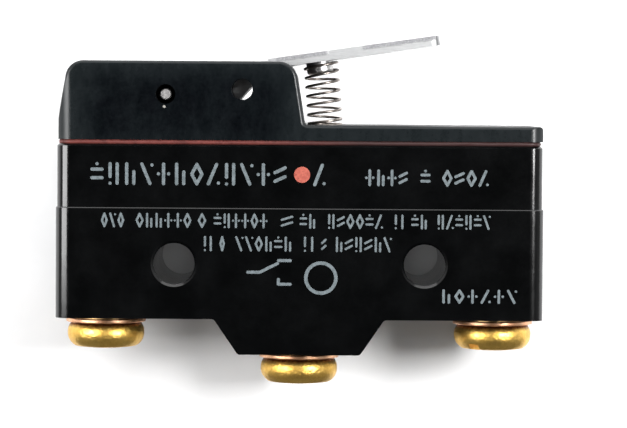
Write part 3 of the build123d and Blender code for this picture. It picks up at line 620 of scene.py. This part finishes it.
# Strokes of the dummy glyphs, as pairs of points in a cell of unit width and height. They spell nothing.
GLYPHS = (
    (((0.15, 0.0), (0.15, 1.0)), ((0.85, 0.0), (0.85, 0.6))),
    (((0.0, 0.0), (0.8, 1.0)), ((1.0, 0.05), (1.0, 0.05))),
    (((0.5, 0.0), (0.0, 0.5)), ((0.0, 0.5), (0.5, 1.0)), ((0.5, 1.0), (1.0, 0.5)), ((1.0, 0.5), (0.5, 0.0))),
    (((0.5, 0.0), (0.5, 1.0)), ((0.0, 0.5), (0.0, 0.5)), ((1.0, 0.5), (1.0, 0.5))),
    (((0.0, 0.72), (1.0, 0.72)), ((0.0, 0.28), (1.0, 0.28)), ((0.5, 1.0), (0.5, 1.0))),
    (((0.15, 0.35), (0.15, 1.0)), ((0.85, 0.0), (0.85, 1.0)), ((0.15, 0.0), (0.15, 0.0))),
    (((0.0, 0.15), (1.0, 0.4)), ((0.0, 0.6), (1.0, 0.85))),
    (((0.0, 1.0), (0.8, 0.0)), ((1.0, 0.95), (1.0, 0.95))),
)
# Rows as bottom and top height, stroke width, glyph pitch, and the words' left and right ends.
UPPER_ROWS = (
    (7.95, 10.25, 0.33, 1.72, ((-21.2, -1.0), (1.35, 2.95))),
    (8.0, 9.7, 0.28, 1.2, ((6.6, 11.1), (12.2, 13.4), (14.4, 19.3))),
)
LOWER_ROWS = (
    (3.65, 5.15, 0.22, 0.95, ((-20.1, -17.6), (-16.6, -10.8), (-10.3, -9.3), (-8.7, -3.1), (-1.9, -0.5),
                              (0.0, 1.8), (2.8, 8.6), (9.5, 10.8), (11.3, 13.1), (13.9, 19.5))),
    (1.3, 2.85, 0.22, 0.95, ((-9.8, -8.6), (-8.1, -7.4), (-6.5, -0.6), (0.3, 1.7), (2.2, 2.9), (3.6, 9.5))),
    (-3.85, -2.4, 0.26, 1.45, ((14.4, 22.4),)),
)


# A changeover contact, as start and end of each stroke.
SYMBOL = (
    ((-5.2, -0.8), (-4.0, -0.8)), ((-4.0, -0.8), (-2.2, 0.1)), ((-2.1, 0.4), (-0.9, 0.4)),
    ((-2.1, -2.0), (-0.9, -2.0)), ((-2.1, 0.4), (-2.1, 0.4)), ((-2.1, -2.0), (-2.1, -1.5)),
)
SYMBOL_WIDTH = 0.3
RING_CENTRE, RING_RADII = (2.2, -1.35), (1.35, 1.7)
DOT_CENTRE, DOT_RADIUS = (0.23, 9.1), 0.815


def stroke(mesh, start, end, width, face_y, layer=0):
    """A round-ended bar of ink on a front face, from start to end as x and z; higher layers are thicker."""
    a, b = Vector(start), Vector(end)
    heading = atan2(b.y - a.y, b.x - a.x)
    outline = []
    for middle, first in ((a, heading + pi / 2), (b, heading - pi / 2)):
        turns = (first + pi * k / 8 for k in range(9))
        outline += [middle + width / 2 * Vector((cos(t), sin(t))) for t in turns]
    slab(mesh, outline, face_y, INK * (1 + 0.12 * layer))


def slab(mesh, outline, face_y, height=INK):
    """A thin plate of ink with this outline of x and z points, standing on a front face."""
    rings = [[mesh.verts.new(Vector((p.x, y, p.y)) * MM) for p in outline] for y in (face_y - height, face_y)]
    for k in range(len(outline)):
        n = (k + 1) % len(outline)
        mesh.faces.new((rings[0][k], rings[0][n], rings[1][n], rings[1][k]))
    mesh.faces.new(rings[0])
    mesh.faces.new(rings[1][::-1])


def annulus(mesh, centre, inner, outer, face_y, count=48):
    """A flat ring of ink on a front face; lengths in millimetres."""
    rings = []
    for y, radius in ((face_y, outer), (face_y - INK, outer), (face_y - INK, inner), (face_y, inner)):
        ring = []
        for turn in (tau * k / count for k in range(count)):
            place = (centre[0] + radius * cos(turn), y, centre[1] + radius * sin(turn))
            ring.append(mesh.verts.new(Vector(place) * MM))
        rings.append(ring)
    for a, b in zip(rings, rings[1:]):
        for k in range(count):
            mesh.faces.new((a[k], a[(k + 1) % count], b[(k + 1) % count], b[k]))


def build_print():
    """Rows of dummy glyphs, a changeover-contact symbol and a plain ring, where the moulding is printed."""
    dice = random.Random(5)
    upper_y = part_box("upper_case")[0].y / MM
    lower_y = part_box("lower_case")[0].y / MM
    mesh = bmesh.new()
    for rows, face_y in ((UPPER_ROWS, upper_y), (LOWER_ROWS, lower_y)):
        for bottom, top, width, pitch, words in rows:
            for left, right in words:
                count = max(1, round((right - left) / pitch))
                cell = (right - left) / count
                for k in range(count):
                    x0 = left + k * cell + width / 2
                    span = cell - 0.42 * pitch + 0.2 * width
                    for layer, pair in enumerate(dice.choice(GLYPHS)):
                        z0, height = bottom + width / 2, top - bottom - width
                        ends = [(x0 + u * span, z0 + v * height) for u, v in pair]
                        stroke(mesh, *ends, width, face_y, layer)
    for layer, (start, end) in enumerate(SYMBOL):
        stroke(mesh, start, end, SYMBOL_WIDTH, lower_y, layer)
    annulus(mesh, RING_CENTRE, *RING_RADII, lower_y)
    dot = bmesh.new()
    turns = (tau * k / 40 for k in range(40))
    slab(dot, [Vector(DOT_CENTRE) + DOT_RADIUS * Vector((cos(t), sin(t))) for t in turns], upper_y)
    for name, made, finish in (("print_marks", mesh, "print_grey"), ("print_dot", dot, "print_red")):
        piece = finish_piece(name, made, FINISHES[finish], smooth=False)
        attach(piece, "case")


def build_speck():
    """A crumb of locking resin beside the pin."""
    mesh = bmesh.new()
    bmesh.ops.create_icosphere(mesh, subdivisions=3, radius=0.16 * MM)
    face_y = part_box("actuator_housing")[0].y
    for vertex in mesh.verts:
        lump = 1 + 0.35 * noise.noise(vertex.co / (0.12 * MM))
        vertex.co = Vector((vertex.co.x * lump, vertex.co.y * 0.4, vertex.co.z * lump * 0.8))
        vertex.co += Vector((PIVOT[0] - 0.1 * MM, face_y, PIVOT[2] - 1.28 * MM))
    piece = finish_piece("resin_speck", mesh, FINISHES["resin"])
    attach(piece, "case")


build_print()
build_speck()


# ---------------------------------------------------------------- stage, light, camera

def stage_plane(name, corners, material):
    data = bpy.data.meshes.new(name)
    data.from_pydata([Vector(c) * MM for c in corners], [], [range(len(corners))])
    plane = bpy.data.objects.new(name, data)
    scene.collection.objects.link(plane)
    data.materials.append(material)
    return plane


def paper(name, one_sided):
    """White card with a faint tooth; a one-sided card can't be seen from behind."""
    g = Graph(name, Roughness=0.9)
    g.set("Base Color", g.mix(g.remap(g.noise(6.0, 4.0), 0.3, 0.7), (0.88, 0.88, 0.885), (0.92, 0.92, 0.925)))
    if one_sided:
        backs = g.node("ShaderNodeNewGeometry").outputs["Backfacing"]
        clear = g.node("ShaderNodeBsdfTransparent").outputs[0]
        both = g.node("ShaderNodeMixShader", {0: backs, 1: g.shader.outputs[0], 2: clear})
        output = g.tree.nodes["Material Output"]
        g.tree.links.new(both.outputs[0], output.inputs["Surface"])
    return g.material


CARD_GAP = 1.7
CARD_Y = CAD_BOX[1][1] / MM + CARD_GAP
FLOOR_Z = -20.0
FLOOR_FRONT = -100.0
SPAN = 600.0
card = stage_plane("backdrop_card", [
    (-SPAN, CARD_Y, FLOOR_Z), (SPAN, CARD_Y, FLOOR_Z), (SPAN, CARD_Y, SPAN), (-SPAN, CARD_Y, SPAN),
], paper("backdrop_paper", True))
floor = stage_plane("studio_floor", [
    (-SPAN, FLOOR_FRONT, FLOOR_Z), (SPAN, FLOOR_FRONT, FLOOR_Z),
    (SPAN, SPAN, FLOOR_Z), (-SPAN, SPAN, FLOOR_Z),
], paper("floor_paper", False))
# The floor lies out of the picture and must not brighten the underside of the switch.
floor.visible_diffuse = False
floor.visible_glossy = False


def area(name, place, target, size, power):
    """Rectangular soft light at place, aimed at target; lengths in millimetres, size is (width, height)."""
    data = bpy.data.lights.new(name, "AREA")
    data.shape = "RECTANGLE"
    data.size, data.size_y = size[0] * MM, size[1] * MM
    data.energy = power
    light = bpy.data.objects.new(name, data)
    scene.collection.objects.link(light)
    light.location = Vector(place) * MM
    aim = (Vector(target) - Vector(place)).normalized()
    light.rotation_euler = aim.to_track_quat("-Z", "Y").to_euler()
    return light


CENTRE = (0, 0, 6)


def around(azimuth, elevation, distance):
    """Place on a sphere round the object; azimuth 0 is in front, positive to the right, in degrees."""
    turn, climbed = radians(azimuth), radians(elevation)
    flat = distance * cos(climbed)
    return (flat * sin(turn), -flat * cos(turn), CENTRE[2] + distance * sin(climbed))


area("overhead", (0, -130, 300), CENTRE, (420, 300), 0.75)
area("strip_left", around(-46, 4, 300), CENTRE, (218, 95), 0.85)
area("strip_right", around(36, 8, 300), CENTRE, (70, 80), 0.95)
back = area("back_overhead", (0, 260, 260), CENTRE, (300, 160), 0.6)

# These three reach only the card: a faint fill, a wash above the ledge, and a glow behind the tower's bore.
SIGHT_X, SIGHT_Z = -5.9, 17.7
card_front = area("card_front", (0, -300, 6), CENTRE, (60, 60), 0.05)
card_top = area("card_top", (60, -200, 250), CENTRE, (140, 120), 0.35)
glow = area("sight_glow", (SIGHT_X, CARD_Y - 1.2, SIGHT_Z), (SIGHT_X, CARD_Y, SIGHT_Z), (2.6, 2.6), 0.00006)
glow.visible_camera = False
card_only = bpy.data.collections.new("card_light_receivers")
card_only.objects.link(card)
for light in (card_front, card_top, glow):
    light.light_linking.receiver_collection = card_only

# The light from behind shines through the card.
blockers = bpy.data.collections.new("back_light_blockers")
for thing in [o for o in scene.objects if o.type == "MESH" and o is not card]:
    blockers.objects.link(thing)
back.light_linking.blocker_collection = blockers

# The room is dark in front and below. Each ramp: direction from, to, and the strength at both.
FRONT_TO_BACK = (-0.9, -0.2, 0.02, 0.8)
BELOW_TO_ABOVE = (-0.3, 0.5, 0.24, 1.0)
world = bpy.data.worlds.new("studio")
scene.world = world
world.use_nodes = True
tree = world.node_tree
tree.nodes.clear()
direction = tree.nodes.new("ShaderNodeTexCoord").outputs["Generated"]
split = tree.nodes.new("ShaderNodeSeparateXYZ")
tree.links.new(direction, split.inputs[0])
strength = tree.nodes.new("ShaderNodeMath")
strength.operation = "MULTIPLY"
for socket, axis, (low, high, dark, light) in zip(strength.inputs, "YZ", (FRONT_TO_BACK, BELOW_TO_ABOVE)):
    ramp = tree.nodes.new("ShaderNodeMapRange")
    for key, value in {"From Min": low, "From Max": high, "To Min": dark, "To Max": light}.items():
        ramp.inputs[key].default_value = value
    tree.links.new(split.outputs[axis], ramp.inputs["Value"])
    tree.links.new(ramp.outputs[0], socket)
dim = tree.nodes.new("ShaderNodeBackground")
tree.links.new(strength.outputs[0], dim.inputs["Strength"])
white = tree.nodes.new("ShaderNodeBackground")
white.inputs["Strength"].default_value = 1.0
seen = tree.nodes.new("ShaderNodeLightPath").outputs["Is Camera Ray"]
choose = tree.nodes.new("ShaderNodeMixShader")
tree.links.new(seen, choose.inputs[0])
tree.links.new(dim.outputs[0], choose.inputs[1])
tree.links.new(white.outputs[0], choose.inputs[2])
tree.links.new(choose.outputs[0], tree.nodes.new("ShaderNodeOutputWorld").inputs["Surface"])
for colour in (dim, white):
    colour.inputs["Color"].default_value = (1, 1, 1, 1)

scene.view_settings.view_transform = "Standard"

EYE = Vector((1.06, -278.7, 16.36)) * MM
AIM = Vector((1.41, -8.7, 5.14)) * MM
ROLL = radians(0.4)
camera_data = bpy.data.cameras.new("camera")
camera_data.sensor_width = 36.0
camera_data.lens = 153.3
camera_data.clip_start = 0.01
camera = bpy.data.objects.new("camera", camera_data)
scene.collection.objects.link(camera)
look = (AIM - EYE).normalized().to_track_quat("-Z", "Y").to_matrix().to_4x4()
camera.matrix_world = Matrix.Translation(EYE) @ look @ Matrix.Rotation(ROLL, 4, "Z")
scene.camera = camera
